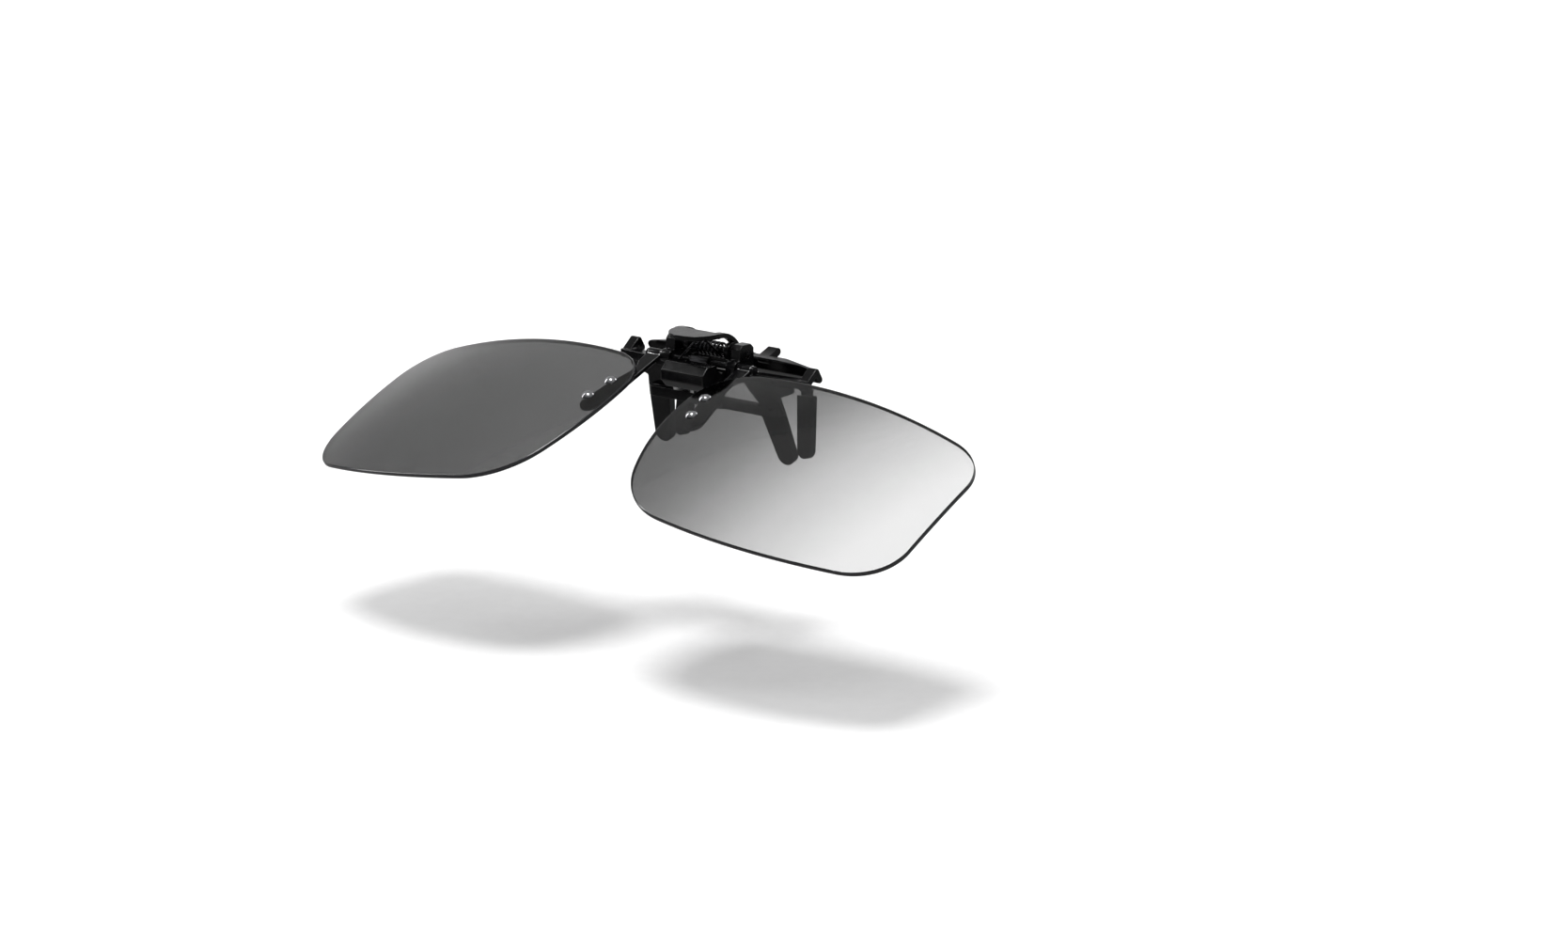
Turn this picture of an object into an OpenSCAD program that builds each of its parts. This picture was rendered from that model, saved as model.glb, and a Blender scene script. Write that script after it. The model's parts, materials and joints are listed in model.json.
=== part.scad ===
// Clip-on flip lenses: two rimless smoke lenses on a flip hinge, carried by a sprung clamp.
// X runs across the face, Y runs back toward the wearer and Z is up, as worn.
// The origin lies midway between the four pads of the clamp.

/* [Pose] */
// Lift of the lenses from their closed position
flip_angle = 72; // [0:1:92]
// Lean of the clamped plane, bottom toward the wearer
worn_tilt = 10; // [0:1:15]

/* [Lenses] */
// Thickness of each lens
lens_t = 0.8; // [0.6:0.05:1.2]
// Radius of the front surface
lens_r = 137; // [110:1:200]
// Face-form angle, outer edge back
lens_wrap = 6.2; // [4:0.1:8]
// Width between the upper corners, before rounding
lens_top_w = 58.7; // [54:0.1:63]
// Width between the lower corners, before rounding
lens_bottom_w = 53.2; // [49:0.1:57]
// Height of the inner side, before rounding
lens_inner_h = 38.2; // [35:0.1:42]
// Outward slant of the inner side
lens_inner_slant = 6; // [3:0.5:9]
// Height of the outer side, before rounding
lens_outer_h = 34.2; // [31:0.1:38]
// Drop of the outer top corner below the inner one
lens_top_drop = 1.3; // [0:0.1:3]
// Bulge of the inner side
bulge_inner = 4; // [1:0.1:6]
// Bulge of the bottom side
bulge_bottom = 4.2; // [1:0.1:6]
// Bulge of the outer side
bulge_outer = 0.4; // [0.2:0.1:3]
// Bulge of the top side
bulge_top = 2.5; // [1:0.1:5]
// Rounding of the inner top corner
round_inner_top = 10.6; // [7:0.1:13]
// Rounding of the inner bottom corner
round_inner_bottom = 16.6; // [12:0.1:20]
// Rounding of the outer bottom corner
round_outer_bottom = 11.1; // [7:0.1:14]
// Rounding of the outer top corner
round_outer_top = 9.6; // [7:0.1:13]

/* [Lens fixing] */
// Distance of the upper screw from the centre plane
screw_side = 11.5; // [11:0.1:13]
// Distance of the upper screw below the flip axle
screw_below = 12.3; // [11.5:0.1:14]
// Upper corner of the lens, inward of the upper screw
screw_inset = 2.1; // [1.8:0.1:3]
// Upper corner of the lens, above the upper screw
screw_drop = 8.4; // [7:0.1:9]
// Distance between the two screws along the lens
screw_pitch = 5.4; // [4.6:0.1:7]
// Outward shift of the lower screw
screw_shift = 1; // [0:0.1:2]
// Foremost point of the lens, outward of the upper screw
crown_side = 22; // [18:0.5:26]
// Foremost point of the lens, below the upper screw
crown_below = 17.6; // [15:0.1:20]
// Back of the lens crown, in front of the flip axle
crown_forward = 5.4; // [5.2:0.05:5.8]
// Radius of the screw shanks
shank_r = 0.55; // [0.4:0.05:0.7]
// Radius of the domed screw heads
head_r = 1.15; // [0.9:0.05:1.4]
// Height of the domed screw heads
head_h = 0.65; // [0.4:0.05:0.9]
// Radius of the caps behind the arms
cap_r = 1; // [0.8:0.05:1.2]
// Height of the caps behind the arms
cap_h = 0.4; // [0.3:0.05:0.5]

/* [Flip hinge] */
// Flip axle, in front of the origin
axle_forward = 9.8; // [9.6:0.1:10.4]
// Flip axle, above the origin
axle_up = 16.3; // [16.1:0.1:16.6]
// Radius of the flip axle
axle_r = 0.55; // [0.4:0.05:0.6]
// Thickness of the lens arms
arm_t = 0.8; // [0.6:0.05:0.9]
// Radius of the rolled eyes of the arms
eye_r = 0.95; // [0.85:0.05:1.1]
// Length of the rolled eyes
eye_w = 3.1; // [2.4:0.1:3.6]
// Width of each lens tab
tab_w = 3.8; // [3.2:0.1:4.2]
// Width of the neck between each eye and its tab
neck_w = 2.3; // [2:0.1:2.6]
// Distance below the axle where the side of the eye ends
neck_top = 3.4; // [2:0.1:4]
// Distance below the axle where the neck is at its narrowest
neck_bend = 4.9; // [4.2:0.1:5.6]
// Distance below the axle where the neck widens into its tab
neck_low = 7; // [5.8:0.1:8]
// Width across the flats of the detent cam
cam_flats = 1.9; // [1.7:0.05:2.1]
// Radius over the rounded corners of the detent cam
cam_r = 1.1; // [1:0.05:1.15]
// Length of the detent cam
cam_w = 4; // [3:0.1:4.6]
// Thickness of the detent leaf
leaf_t = 0.22; // [0.15:0.01:0.3]
// Width of the detent leaf
leaf_w = 3.6; // [2.6:0.1:4]
// Thickness of the side washers
washer_t = 0.24; // [0.15:0.01:0.3]

/* [Hinge block] */
// Length of the hinge block
block_w = 10; // [9:0.1:10.4]
// Height of the hinge block
block_h = 4.8; // [4.2:0.1:5.2]
// Underside of the hinge block above the origin
block_up = 11.8; // [11.4:0.1:12.2]
// Front of the hinge block, in front of the origin
block_forward = 15.4; // [14.8:0.1:16]
// Depth of the bevels along the front
block_bevel = 1.5; // [0.8:0.1:1.8]

/* [Clamp frame] */
// Front of the frame web, in front of the origin
web_forward = 9; // [8.8:0.1:9.2]
// Sheet thickness of the web and the front jaw
sheet_t = 1; // [0.8:0.05:1.2]
// Width between the two ears
ear_gap = 13.4; // [13:0.1:14]
// Thickness of each ear
ear_t = 2.1; // [1.6:0.1:2.2]
// Top of the ears above the origin
ear_up = 20.3; // [20:0.1:20.8]
// Bevel on the top of the ears
ear_bevel = 0.8; // [0.4:0.1:1]
// Radius of the axle bosses on the ears
boss_r = 1.3; // [1.2:0.05:1.4]
// Radius of the frame screws
frame_screw_r = 0.6; // [0.4:0.05:0.7]
// Distance of each frame screw from the centre plane
frame_screw_side = 2.3; // [2:0.1:2.4]
// Half width of the web under its beam
web_half = 3.4; // [3.3:0.05:3.8]
// Half width of the web where it meets its beam
gusset_side = 7.6; // [6.8:0.1:8.4]
// Height of the slanted sides of the web
gusset_h = 2.6; // [2:0.1:3.2]

/* [Hook bar] */
// Half span of the hook bar
hook_side = 22.1; // [21:0.1:24]
// Underside of the hook bar above the origin
bar_up = 13.6; // [13.4:0.1:13.8]
// Height of the hook bar
bar_h = 1.5; // [1.2:0.1:1.6]
// Depth of the hook bar
bar_t = 2.4; // [2:0.1:2.6]
// Depth of the bar under the hooks
bar_end_t = 1.2; // [1:0.1:1.4]
// Backward sweep of the bar at its ends
bar_sweep = 1.2; // [0.6:0.1:2]
// Width of each hook
hook_w = 2; // [1.6:0.1:2.8]
// Backward reach of each hook, from its foot on the bar to its crest
hook_reach = 2.5; // [2.2:0.1:2.8]
// Rise of each hook, from its foot on the bar to its crest
hook_rise = 2; // [1.8:0.1:2.2]
// Thickness of each hook
hook_t = 1.3; // [1:0.1:1.5]

/* [Jaws] */
// Side distance of the pad tips
tip_side = 14.9; // [14.4:0.1:15.4]
// Depth of the pad tips below the origin
tip_below = 1.9; // [1.5:0.1:2.5]
// Gap between front and rear pads
pad_gap = 2.6; // [2.4:0.05:3]
// Thickness of the sleeves, over both faces
sleeve_t = 1.9; // [1.7:0.05:2.1]
// Width of the front sleeves at the top
front_sleeve_w = 4.7; // [4.3:0.1:5.2]
// Radius of the front sleeve tips
front_tip_r = 1.85; // [1.6:0.05:2.1]
// Length of the front sleeves, before they are trimmed under the ledge
front_sleeve_l = 10.6; // [10.4:0.05:11]
// Width of the rear sleeves at the top
rear_sleeve_w = 3.5; // [3.2:0.1:3.9]
// Radius of the rear sleeve tips
rear_tip_r = 1.55; // [1.35:0.05:1.6]
// Length of the rear sleeves
rear_sleeve_l = 11.6; // [11:0.1:11.8]
// Wall of the sleeves
sleeve_wall = 0.55; // [0.45:0.01:0.6]
// Backward lean of the front legs, toward their tips
front_lean = 17; // [15:0.5:18]
// Outward splay of the front legs
front_splay = 9; // [7:0.5:10]
// Forward lean of the rear legs, toward their tips
rear_lean = 6; // [5:0.5:7]
// Outward splay of the rear legs
rear_splay = 4; // [3:0.5:5]
// Half width of the ledge that carries the front legs
ledge_side = 15.3; // [15:0.1:16]
// Top of the ledge above the origin
ledge_up = 9.35; // [9.2:0.05:9.6]
// Depth of the ledge
ledge_d = 2; // [1.9:0.05:2.2]
// Height of the ledge
ledge_h = 1.85; // [1.6:0.05:2]
// Rounding of the front corners of the ledge
ledge_round = 1.6; // [1:0.1:1.8]
// Reach of the front leg roots above the ledge, inward from the middle of the leg
root_in = 2.25; // [2:0.05:2.5]
// Reach of the front leg roots above the ledge, outward from the middle of the leg
root_out = 2.8; // [2.4:0.1:3.4]
// Reach of the flared root tops, inward from the middle of the leg
flare_in = 4.8; // [4:0.1:5]
// Reach of the flared root tops, outward from the middle of the leg
flare_out = 6.7; // [6:0.1:7]
// Distance along the leg from its tip to the inward flare
flare_in_up = 11.9; // [11:0.1:12.5]
// Distance along the leg from its tip to the outward flare
flare_out_up = 13.4; // [12.6:0.1:13.8]

/* [Thumb lever] */
// Clamp pin, in front of the origin
pin_forward = 7; // [6.9:0.05:7.1]
// Clamp pin, above the origin
pin_up = 18.4; // [18.3:0.05:18.6]
// Radius of the clamp pin
pin_r = 0.7; // [0.5:0.05:0.75]
// Radius of the lever hubs round the pin
hub_r = 1.7; // [1.5:0.05:1.8]
// Radius of the thumb plate
thumb_r = 5.1; // [4.4:0.1:5.4]
// Thickness of the lever sheet
lever_t = 0.9; // [0.7:0.05:1]
// Width of each curved lever strip
strip_w = 1.6; // [1.3:0.1:1.7]
// Outer radius of the curved lever strips
strip_r = 6.25; // [6.1:0.05:6.4]
// Thickness of the rear jaw plate
rear_t = 1; // [0.8:0.05:1.1]
// Half width of the rear jaw at its shoulders
shoulder_side = 19.5; // [18.5:0.1:19.8]
// Radius of the rounded shoulder ends
shoulder_r = 0.85; // [0.7:0.05:1]
// Heel of the rear jaw plate, behind the pin
heel_back = 5.2; // [5:0.1:5.4]
// Heel of the rear jaw plate, below the pin
heel_below = 1.4; // [1.2:0.1:1.6]
// Upper bend of the rear jaw plate, in front of the tops of the rear legs
bend_forward = 4.9; // [4.7:0.1:5.1]
// Upper bend of the rear jaw plate, above the tops of the rear legs
bend_rise = 4.5; // [4.3:0.1:4.7]
// Underside of the arch between the rear legs, above the origin
rear_arch_up = 13.6; // [13.2:0.1:13.8]
// Half width of the level top of the rear jaw
shoulder_flat = 13.2; // [12:0.1:14]
// Width of the two lugs that bend back from the top of the rear jaw
lug_w = 2.4; // [1.8:0.1:2.8]
// Thickness of the two lugs
lug_t = 1.5; // [1.2:0.1:1.7]
// Backward reach of the two lugs
lug_reach = 2.4; // [1.8:0.1:2.8]
// Rise of the two lugs toward their ends
lug_rise = 1.1; // [0.6:0.1:1.4]

/* [Clamp spring] */
// Wire diameter of the spring
wire_d = 0.45; // [0.3:0.01:0.5]
// Mean radius of the coil
coil_r = 1.25; // [1.15:0.01:1.3]
// Length of the coil
coil_w = 6.2; // [5.6:0.1:6.4]
// Whole turns of the coil
coil_turns = 6; // [4:1:7]

/* [Fits] */
// Radial clearance of a turning fit
run_clear = 0.04; // [0.02:0.01:0.08]
// Clearance of a fixed fit
seat_clear = 0.02; // [0.01:0.005:0.04]
// Clearance between the leaf and the cam
cam_clear = 0.04; // [0.02:0.01:0.1]

/* [Hidden] */
$fn = 96;
fine = 360;
over = 0.5;
far = 60;
black = [0.06, 0.06, 0.07];
steel = [0.75, 0.75, 0.77];
smoke = [0.25, 0.26, 0.28, 0.75];
silicone = [0.09, 0.09, 0.1];

// Places that several pieces share
axle_y = -axle_forward;
pin_y = -pin_forward;
web_back = -web_forward + sheet_t;
ear_in = ear_gap / 2;
ear_out = ear_in + ear_t;
eye_in = ear_out + washer_t + 2 * seat_clear;
eye_out = eye_in + eye_w;
block_top = block_up + block_h;
tip_y = pad_gap / 2 + sleeve_t / 2;
// The strips of the lever curve round a point in front of the pin and below it
strip_forward = 3.2;
strip_below = 2.35;
strip_y = pin_y - strip_forward;
strip_z = pin_up - strip_below;
thumb_top = strip_z + strip_r;
thumb_low = thumb_top - lever_t;

// Outline of the lens
// Four bulged sides join four round corners, counted from the inner top, seen from the front.
// The outline is measured from the upper screw, outward and up.
corner_inner_top = [-screw_inset, screw_drop];
corner_inner_bottom = corner_inner_top + [lens_inner_slant, -lens_inner_h];
corner_outer_top = corner_inner_top + [lens_top_w, -lens_top_drop];
corner_outer_bottom = [corner_inner_bottom[0] + lens_bottom_w, corner_outer_top[1] - lens_outer_h];
corners = [corner_inner_top, corner_inner_bottom, corner_outer_bottom, corner_outer_top];
bulges = [bulge_inner, bulge_bottom, bulge_outer, bulge_top];
rounds = [round_inner_top, round_inner_bottom, round_outer_bottom, round_outer_top];
corner_steps = 8;
side_steps = 7;

function next(i) = (i + 1) % 4;
function previous(i) = (i + 3) % 4;
function heading(v) = atan2(v[1], v[0]);
function turned(from, to) = to < from ? to + 360 : to;
function spoke(r, a) = [r * cos(a), r * sin(a)];

// Radius of the arc over a chord with a given bulge
function side_radius(a, b, bulge) = (norm(b - a) * norm(b - a) / 4 + bulge * bulge) / (2 * bulge);
// Centre of that arc, on the inner side of the chord
function side_centre(a, b, bulge) =
    let (along = (b - a) / norm(b - a))
    (a + b) / 2 - [along[1], -along[0]] * (side_radius(a, b, bulge) - bulge);

side_r = [for (i = [0:3]) side_radius(corners[i], corners[next(i)], bulges[i])];
side_c = [for (i = [0:3]) side_centre(corners[i], corners[next(i)], bulges[i])];

// The point near a given one that lies r0 from c0 and r1 from c1
function meet(c0, r0, c1, r1, near) =
    let (
        apart = norm(c1 - c0),
        along = (c1 - c0) / apart,
        reach = (apart * apart + r0 * r0 - r1 * r1) / (2 * apart),
        rise = sqrt(max(0, r0 * r0 - reach * reach)),
        a = c0 + along * reach + [-along[1], along[0]] * rise,
        b = c0 + along * reach - [-along[1], along[0]] * rise
    )
    norm(a - near) < norm(b - near) ? a : b;

round_c = [
    for (i = [0:3])
        let (before = previous(i))
        meet(side_c[before], side_r[before] - rounds[i], side_c[i], side_r[i] - rounds[i], corners[i])
];
function corner_arc(i) =
    let (
        from = heading(round_c[i] - side_c[previous(i)]),
        to = turned(from, heading(round_c[i] - side_c[i]))
    )
    [for (k = [0:corner_steps]) round_c[i] + spoke(rounds[i], from + (to - from) * k / corner_steps)];
function side_arc(i) =
    let (
        from = heading(round_c[i] - side_c[i]),
        to = turned(from, heading(round_c[next(i)] - side_c[i]))
    )
    [for (k = [1:side_steps - 1]) side_c[i] + spoke(side_r[i], from + (to - from) * k / side_steps)];
lens_outline = [for (i = [0:3], p = concat(corner_arc(i), side_arc(i))) p];

// Frames of the moving lenses
// Flip frame: origin on the axle, Y through the lens toward its back, Z up the lens.
crown_y = -(crown_forward + lens_t);
crown_c = [crown_side, lens_r, -crown_below];
upper_screw = [0, 0];
lower_screw = [screw_shift, screw_pitch];
screws = [upper_screw, lower_screw];
// Lean of the lens surface between its screws, which the arms follow
arm_pitch = asin((crown_below - screw_pitch / 2) / lens_r);

// Angles that turn the crown of the lens to the point s, which is outward and below the upper screw
function lift_of(s) = asin((s[1] - crown_below) / lens_r);
function swing_of(s) = asin((s[0] - crown_side) / (lens_r * cos(lift_of(s))));
// That point on the front surface, in the lens frame and then in the flip frame
function lens_point(s, r) =
    let (lift = lift_of(s), swing = swing_of(s))
    crown_c + r * [cos(lift) * sin(swing), -cos(lift) * cos(swing), -sin(lift)];
function flip_point(p) = [
    screw_side + p[0] * cos(lens_wrap) - p[1] * sin(lens_wrap),
    crown_y + p[0] * sin(lens_wrap) + p[1] * cos(lens_wrap),
    p[2] - screw_below
];
// Side and height of a flip-frame point in the frame of the arms
function arm_flat(p) = [p[0], p[1] * sin(arm_pitch) + p[2] * cos(arm_pitch)];
tab_points = [for (s = screws) arm_flat(flip_point(lens_point(s, lens_r - lens_t)))];
// Depth of a flip-frame point behind the axle, square to the arms
function arm_depth(p) = p[1] * cos(arm_pitch) - p[2] * sin(arm_pitch);
// The flat tabs stand just clear of the rearmost point of the lens back that they cover
lens_top = [0, -screw_drop];
tab_rim = [for (s = [upper_screw, lower_screw, lens_top], a = [0:30:330]) s + spoke(tab_w / 2, a)];
tab_front = seat_clear + max([for (s = tab_rim) arm_depth(flip_point(lens_point(s, lens_r - lens_t)))]);
arm_back = tab_front + arm_t;
// The shank holes run from in front of the lens to behind the arm
front_points = [for (s = screws) flip_point(lens_point(s, lens_r))];
shank_depth = over + arm_back - min([for (p = front_points) arm_depth(p)]);

module flip_place() {
    translate([0, axle_y, axle_up]) rotate([worn_tilt - flip_angle, 0, 0]) children();
}

module lens_place() {
    flip_place() translate([screw_side, crown_y, -screw_below]) rotate([0, 0, lens_wrap]) children();
}

module arm_place() {
    flip_place() rotate([-arm_pitch, 0, 0]) children();
}

// Puts children on the front surface at the point s, with Z pointing out of the lens
module on_lens(s) {
    translate(crown_c) rotate([0, 0, swing_of(s)]) rotate([lift_of(s), 0, 0])
        translate([0, -lens_r, 0]) rotate([90, 0, 0]) children();
}

module left_side() {
    mirror([1, 0, 0]) children();
}

// A round bar along X
module bar_x(r, from, to) {
    translate([from, 0, 0]) rotate([0, 90, 0]) cylinder(r = r, h = to - from);
}

// A profile drawn in Y and Z, extruded along X
module along_x(from, to) {
    translate([from, 0, 0]) rotate([90, 0, 90]) linear_extrude(to - from) children();
}

// A profile drawn in X and Z, extruded along Y
module along_y(from, to) {
    translate([0, to, 0]) rotate([90, 0, 0]) linear_extrude(to - from) children();
}

module at_axle() {
    translate([0, axle_y, axle_up]) children();
}

module at_pin() {
    translate([0, pin_y, pin_up]) children();
}

// Clamp frame: a T-shaped web with an ear at each end
ear_set_back = 0.4;
ear_wall = 0.9;
bar_margin = 0.2;
ear_front = axle_y + ear_set_back;
ear_back = pin_y + pin_r + ear_wall;
ear_foot = bar_up + bar_h + bar_margin;
beam_low = bar_up - bar_margin;

module ear_profile() {
    polygon([
        [ear_front, ear_foot - over], [ear_front, ear_up - ear_bevel], [ear_front + ear_bevel, ear_up],
        [ear_back - ear_bevel, ear_up], [ear_back, ear_up - ear_bevel], [ear_back, ear_foot],
        [web_back, ear_foot], [web_back, ear_foot - over]
    ]);
    translate([axle_y, axle_up]) circle(r = boss_r);
}

module web_outline() {
    translate([-ear_out, beam_low]) square([2 * ear_out, ear_foot - beam_low]);
    polygon([
        [-web_half, jaw_tab_low], [web_half, jaw_tab_low], [web_half, beam_low - gusset_h],
        [gusset_side, beam_low], [-gusset_side, beam_low], [-web_half, beam_low - gusset_h]
    ]);
}

module clamp_frame() {
    color(black) difference() {
        union() {
            for (side = [-1, 1])
                along_x(side > 0 ? ear_in : -ear_out, side > 0 ? ear_out : -ear_in) ear_profile();
            along_y(-web_forward, web_back) web_outline();
        }
        at_axle() bar_x(axle_r + run_clear, -far, far);
        at_pin() bar_x(pin_r + seat_clear, -far, far);
        frame_screw_holes();
        bar_rivet_holes();
    }
}

// Front jaw: a tab on the web, a ledge under it and two legs with flared roots under the hook bar
web_over_ledge = 1;
ledge_step = 0.6;
jaw_tab_low = ledge_up + web_over_ledge;
jaw_tab_top = beam_low;
ledge_front = web_back + ledge_step;
ledge_low = ledge_up - ledge_h;

module ledge_outline() {
    inner_w = 2 * (ledge_side - ledge_round);
    intersection() {
        union() {
            translate([-inner_w / 2, ledge_front]) square([inner_w, ledge_d]);
            translate([-ledge_side, ledge_front + ledge_round]) square([2 * ledge_side, ledge_d]);
            for (side = [-1, 1])
                translate([side * inner_w / 2, ledge_front + ledge_round]) circle(r = ledge_round);
        }
        translate([-ledge_side, ledge_front]) square([2 * ledge_side, ledge_d]);
    }
    translate([-web_half, web_back]) square([2 * web_half, ledge_d]);
}

module front_leg_place() {
    translate([tip_side, -tip_y, -tip_below]) rotate([front_lean, 0, 0]) rotate([0, -front_splay, 0])
        children();
}

module rear_leg_place() {
    translate([tip_side, tip_y, -tip_below]) rotate([-rear_lean, 0, 0]) rotate([0, -rear_splay, 0])
        children();
}

// Outline of a leg with a round tip at the origin, shrunk by a margin on every edge
module leg_outline(length, width, tip_r, shrink) {
    translate([0, tip_r]) circle(r = tip_r - shrink);
    polygon([
        [-tip_r + shrink, tip_r], [tip_r - shrink, tip_r],
        [width / 2 - shrink, length], [-width / 2 + shrink, length]
    ]);
}

// Metal leg inside its sleeve, with a straight root above it
leg_half_t = sleeve_t / 2 - sleeve_wall - seat_clear;
leg_margin = sleeve_wall + seat_clear;

module leg(length, width, tip_r) {
    along_y(-leg_half_t, leg_half_t) {
        leg_outline(length, width, tip_r, leg_margin);
        translate([-width / 2 + leg_margin, length]) square([width - 2 * leg_margin, far]);
    }
}

module sleeve(length, width, tip_r) {
    color(silicone) difference() {
        along_y(-sleeve_t / 2, sleeve_t / 2) leg_outline(length, width, tip_r, 0);
        along_y(-sleeve_t / 2 + sleeve_wall, sleeve_t / 2 - sleeve_wall) {
            leg_outline(length, width, tip_r, sleeve_wall);
            translate([-width / 2 + sleeve_wall, length]) square([width - 2 * sleeve_wall, over]);
        }
    }
}

// The right half of the space between two heights
module right_layer(low, high) {
    translate([0, -far, low]) cube([far, 2 * far, high - low]);
}

flare_rise = 1;

module root_outline() {
    polygon([
        [-root_in, 0], [root_out, 0], [root_out, flare_out_up], [flare_out, flare_out_up + flare_rise],
        [flare_out, bar_up + 2 * tip_below], [-flare_in, bar_up + 2 * tip_below], [-root_in, flare_in_up]
    ]);
}

module right_front_leg() {
    intersection() {
        front_leg_place() leg(front_sleeve_l, front_sleeve_w, front_tip_r);
        right_layer(-far, ledge_up - ledge_h / 4);
    }
    intersection() {
        front_leg_place() along_y(-leg_half_t, leg_half_t) root_outline();
        right_layer(ledge_low, bar_up - seat_clear);
    }
}

module front_jaw() {
    color(black) difference() {
        union() {
            translate([0, 0, ledge_low]) linear_extrude(ledge_h) ledge_outline();
            along_y(web_back, web_back + sheet_t)
                translate([-web_half, ledge_low]) square([2 * web_half, jaw_tab_top - ledge_low]);
            for (side = [0, 1]) mirror([side, 0, 0]) right_front_leg();
        }
        frame_screw_holes();
    }
}

module left_front_sleeve() {
    left_side() right_front_sleeve();
}

module right_front_sleeve() {
    intersection() {
        front_leg_place() sleeve(front_sleeve_l, front_sleeve_w, front_tip_r);
        right_layer(-far, ledge_low - seat_clear);
    }
}

// Hook bar: runs behind the web, sweeps back at its ends and carries two bent hooks
hook_sink = 0.1;
hook_tip_back = 0.95;
hook_tip_drop = 1.55;
hook_in = hook_side - hook_w;
bar_rivet_side = (block_w / 2 + ear_in) / 2;
bar_rivet_r = 0.35;
bar_rivet_head = 0.7;
bar_rivet_head_h = 0.3;

// Front edge of the bar at a distance from the centre plane
function bar_front(side) = web_back + bar_sweep * max(0, side - ear_out) / (hook_side - ear_out);

module bar_half_outline() {
    polygon([
        [0, web_back], [ear_out, web_back], [hook_side, bar_front(hook_side)],
        [hook_side, bar_front(hook_side) + bar_end_t], [hook_in, bar_front(hook_in) + bar_end_t],
        [hook_in, bar_front(hook_in) + bar_t], [ear_out, web_back + bar_t], [0, web_back + bar_t]
    ]);
}

// Line of a hook in Y and Z: foot, crest and tip
hook_foot = [bar_front(hook_side) + hook_t / 2 + hook_sink, bar_up + bar_h - hook_t / 2 - hook_sink];
hook_crest = hook_foot + [hook_reach, hook_rise];
hook_line = [hook_foot, hook_crest, hook_crest + [hook_tip_back, -hook_tip_drop]];

// Part of a ring between two angles under 180 degrees apart
module ring_part(inner, outer, from, to) {
    intersection() {
        difference() {
            circle(r = outer);
            circle(r = inner);
        }
        polygon([[0, 0], spoke(3 * outer, from), spoke(3 * outer, (from + to) / 2), spoke(3 * outer, to)]);
    }
}

module hook_bar() {
    color(black) difference() {
        union() {
            for (side = [0, 1]) mirror([side, 0, 0]) {
                translate([0, 0, bar_up]) linear_extrude(bar_h) bar_half_outline();
                along_x(hook_in, hook_side) strokes(hook_line, hook_t);
            }
        }
        bar_rivet_holes();
    }
}

module bar_rivet_places() {
    for (side = [-1, 1])
        translate([side * bar_rivet_side, -web_forward, bar_up + bar_h / 2]) rotate([-90, 0, 0]) children();
}

module bar_rivet_holes() {
    bar_rivet_places() translate([0, 0, -over]) cylinder(r = bar_rivet_r + seat_clear, h = far);
}

module bar_rivets() {
    color(black) bar_rivet_places() {
        translate([0, 0, -bar_rivet_head_h]) cylinder(r = bar_rivet_head, h = bar_rivet_head_h);
        cylinder(r = bar_rivet_r, h = sheet_t + bar_t + bar_rivet_head_h);
        translate([0, 0, sheet_t + bar_t]) cylinder(r = bar_rivet_head, h = bar_rivet_head_h);
    }
}

// Hinge block: a bevelled bar with a trough for the axle and a pocket for the detent leaf
trough_clear = 0.1;
trough_r = boss_r + trough_clear;
leaf_top = axle_up - cam_r - cam_clear;
leaf_front = -block_forward + block_bevel;
leaf_gap = 0.3;
leaf_back = -web_forward - leaf_gap;
leaf_side_gap = 0.2;
leaf_anchor = 2;
pocket_drop = 0.9;

module block_profile() {
    polygon([
        [-web_forward, block_up], [-block_forward + block_bevel, block_up],
        [-block_forward, block_up + block_bevel], [-block_forward, block_top - block_bevel],
        [-block_forward + block_bevel, block_top], [-web_forward, block_top]
    ]);
}

module hinge_block() {
    color(black) difference() {
        along_x(-block_w / 2, block_w / 2) block_profile();
        at_axle() bar_x(trough_r, -far, far);
        translate([-leaf_w / 2 - leaf_side_gap, leaf_front + leaf_anchor, leaf_top - leaf_t - pocket_drop])
            cube([leaf_w + 2 * leaf_side_gap, far, far]);
        translate([-leaf_w / 2 - seat_clear, leaf_front - seat_clear, leaf_top - leaf_t - seat_clear])
            cube([leaf_w + 2 * seat_clear, leaf_anchor + over, leaf_t + 2 * seat_clear]);
        frame_screw_holes();
    }
}

module detent_leaf() {
    color(steel) translate([-leaf_w / 2, leaf_front, leaf_top - leaf_t])
        cube([leaf_w, leaf_back - leaf_front, leaf_t]);
}

// Frame screws: hold the front jaw, the web and the block together
frame_screw_up = (block_up + jaw_tab_top) / 2;
frame_screw_head = 0.9;
frame_screw_head_h = 0.45;
frame_screw_depth = 2.4;

module frame_screw_places() {
    for (side = [-1, 1])
        translate([side * frame_screw_side, web_back + sheet_t, frame_screw_up])
            rotate([90, 0, 0]) children();
}

module frame_screw_holes() {
    frame_screw_places() translate([0, 0, -over])
        cylinder(r = frame_screw_r + seat_clear, h = over + 2 * sheet_t + frame_screw_depth + seat_clear);
}

module frame_screws() {
    color(black) frame_screw_places() {
        cylinder(r = frame_screw_r, h = 2 * sheet_t + frame_screw_depth);
        translate([0, 0, -frame_screw_head_h]) cylinder(r = frame_screw_head, h = frame_screw_head_h);
    }
}

// Clamp pin with a spacer outside each lever hub
module clamp_pin() {
    color(steel) at_pin() bar_x(pin_r, -ear_out, ear_out);
}

spacer_w = 1.5;
spacer_wall = 0.35;
lever_out = ear_in - spacer_w;
hub_w = 1;

module pin_spacers() {
    color(steel) for (side = [0, 1]) mirror([side, 0, 0]) at_pin() difference() {
        bar_x(pin_r + spacer_wall, lever_out + seat_clear, ear_in - seat_clear);
        bar_x(pin_r + seat_clear, 0, far);
    }
}

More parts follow.
